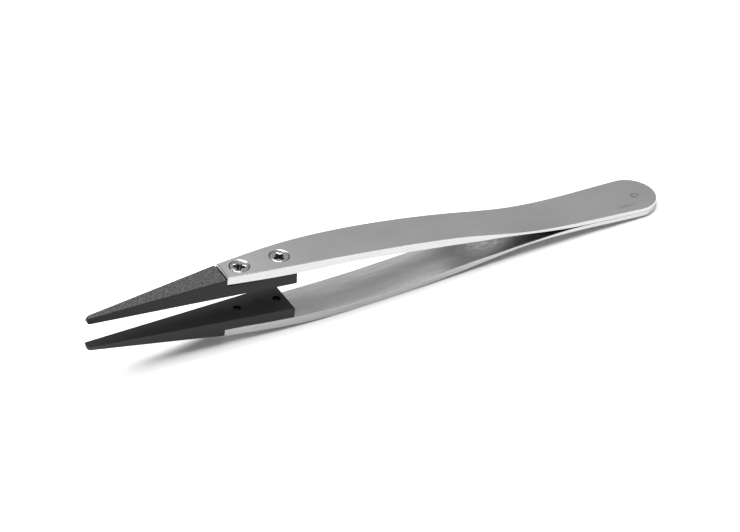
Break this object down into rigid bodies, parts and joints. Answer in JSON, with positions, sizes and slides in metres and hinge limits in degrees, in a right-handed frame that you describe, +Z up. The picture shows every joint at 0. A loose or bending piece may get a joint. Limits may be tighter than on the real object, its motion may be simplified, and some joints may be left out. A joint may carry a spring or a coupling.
{
  "type": "precision tweezers",
  "caption": "Fine-work tweezers: two bowed spring-steel arms welded at the tail, each with a screwed-on tapered black plastic tip.",
  "frame": {"origin": "centre of the underside of the tweezers' box, on the surface that they lie on", "axes": "+X from the tips towards the tail, +Y across the arms, +Z up; the tweezers lie on the lower arm with the tips raised by 4.6 degrees"},
  "size_m": [0.1296, 0.0114, 0.0161],
  "materials": {
    "satin_steel": "fine satin grain along the arm, bright polished edges",
    "black_plastic": "fine-grained moulded, anti-static filled",
    "screw_steel": "bright plated",
    "weld_steel": "bare fused metal"
  },
  "bodies": {
    "tail": {"upper_arm_spring": "satin_steel", "lower_arm_spring": "satin_steel", "tail_weld": "weld_steel"},
    "upper_jaw": {"upper_arm_grip": "satin_steel", "upper_tip": "black_plastic", "upper_front_screw": "screw_steel", "upper_rear_screw": "screw_steel"},
    "lower_jaw": {"lower_arm_grip": "satin_steel", "lower_tip": "black_plastic", "lower_front_screw": "screw_steel", "lower_rear_screw": "screw_steel"}
  },
  "joints": [
    {"name": "upper_arm_flex", "type": "hinge", "parent": "tail", "child": "upper_jaw", "pos_m": [0.0326, 0, 0.00488], "axis": [0, -1, 0], "range_deg": [0, 1.56], "stiffness_Nm_per_rad": 3.5},
    {"name": "lower_arm_flex", "type": "hinge", "parent": "tail", "child": "lower_jaw", "pos_m": [0.03239, 0, 0.00224], "axis": [0, 1, 0], "range_deg": [0, 1.56], "stiffness_Nm_per_rad": 3.5}
  ],
  "couplings": [
    {"joint": "lower_arm_flex", "follows": "upper_arm_flex", "ratio": 1}
  ]
}
